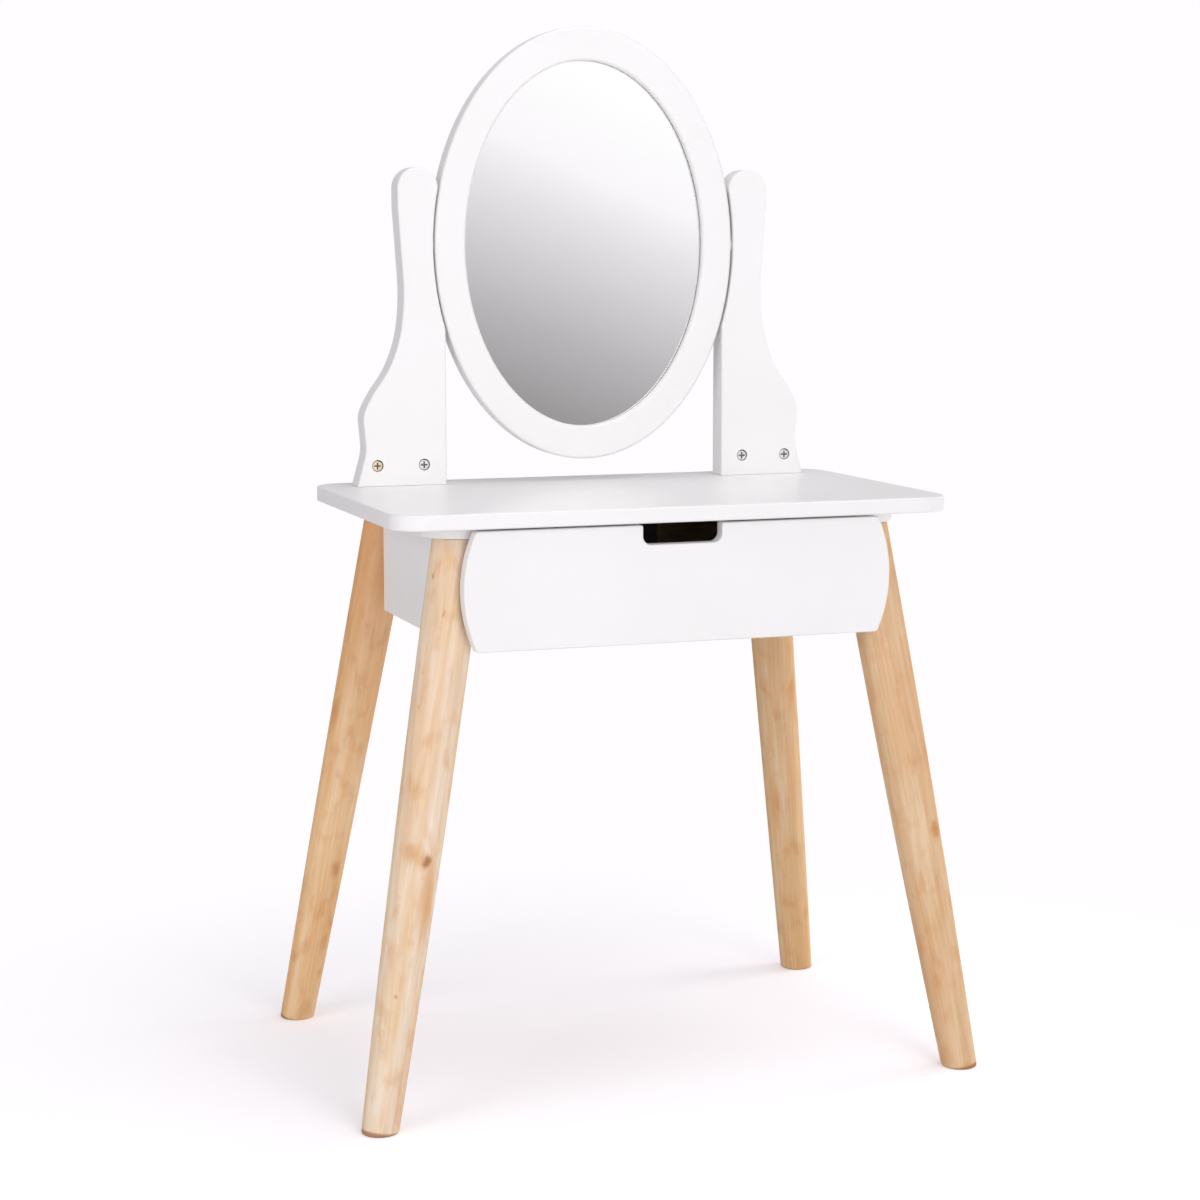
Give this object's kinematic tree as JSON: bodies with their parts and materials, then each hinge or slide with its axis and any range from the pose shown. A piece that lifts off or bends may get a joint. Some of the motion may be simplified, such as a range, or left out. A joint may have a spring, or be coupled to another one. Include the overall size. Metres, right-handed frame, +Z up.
{
  "type": "dressing table",
  "caption": "Small white dressing table with splayed wooden legs, one drawer with a finger slot and an oval mirror turning between two curved posts.",
  "frame": {"origin": "on the floor, under the middle of the whole table's footprint", "axes": "+Z up, -Y the way the drawer opens and the mirror faces, +X to the right of someone facing the table"},
  "size_m": [0.6792, 0.4494, 1.1095],
  "materials": {
    "white_lacquer": "satin white lacquer on fibreboard and wood",
    "pale_wood": "clear satin varnish on pale softwood",
    "box_wood": "bare sanded",
    "hardboard": "bare hardboard",
    "mirror_glass": "polished glass, silvered behind",
    "zinc_steel": "zinc plated",
    "yellow_zinc": "yellow plated",
    "nylon": "moulded"
  },
  "bodies": {
    "table": {"tabletop": "white_lacquer", "leg_board": "white_lacquer", "case_side_left": "white_lacquer", "case_side_right": "white_lacquer", "case_back": "white_lacquer", "mirror_post_left": "white_lacquer", "mirror_post_right": "white_lacquer", "leg_front_left": "pale_wood", "leg_front_right": "pale_wood", "leg_rear_left": "pale_wood", "leg_rear_right": "pale_wood", "drawer_runner_left": "pale_wood", "drawer_runner_right": "pale_wood", "drawer_stop": "pale_wood", "pivot_bush_left": "nylon", "pivot_bush_right": "nylon", "leg_bolt_front_left": "zinc_steel", "leg_bolt_front_right": "zinc_steel", "leg_bolt_rear_left": "zinc_steel", "leg_bolt_rear_right": "zinc_steel", "leg_nut_front_left": "zinc_steel", "leg_nut_front_right": "zinc_steel", "leg_nut_rear_left": "zinc_steel", "leg_nut_rear_right": "zinc_steel", "runner_screw_left_front": "zinc_steel", "runner_screw_left_rear": "zinc_steel", "runner_screw_right_front": "zinc_steel", "runner_screw_right_rear": "zinc_steel", "stop_screw": "zinc_steel", "cam_left_inner": "zinc_steel", "cam_right_inner": "zinc_steel", "cam_right_outer": "zinc_steel", "cam_bolt_left_inner": "zinc_steel", "cam_bolt_left_outer": "zinc_steel", "cam_bolt_right_inner": "zinc_steel", "cam_bolt_right_outer": "zinc_steel", "top_screw_front_left": "zinc_steel", "top_screw_front_right": "zinc_steel", "top_screw_rear_left": "zinc_steel", "top_screw_rear_right": "zinc_steel", "cam_left_outer": "yellow_zinc"},
    "drawer": {"drawer_front": "white_lacquer", "drawer_side_left": "box_wood", "drawer_side_right": "box_wood", "drawer_inner_front": "box_wood", "drawer_back": "box_wood", "drawer_bottom": "box_wood", "front_screw_left": "zinc_steel", "front_screw_right": "zinc_steel"},
    "mirror": {"mirror_frame": "white_lacquer", "mirror_glass": "mirror_glass", "mirror_backing": "hardboard", "pivot_pin_left": "zinc_steel", "pivot_pin_right": "zinc_steel", "backing_screw_top": "zinc_steel", "backing_screw_bottom": "zinc_steel", "backing_screw_left": "zinc_steel", "backing_screw_right": "zinc_steel"}
  },
  "joints": [
    {"name": "drawer_slide", "type": "slide", "parent": "table", "child": "drawer", "axis": [0, -1, 0], "range_m": [0, 0.13]},
    {"name": "mirror_tilt", "type": "hinge", "parent": "table", "child": "mirror", "pos_m": [0, 0.1041, 0.8745], "axis": [1, 0, 0], "continuous": true}
  ]
}
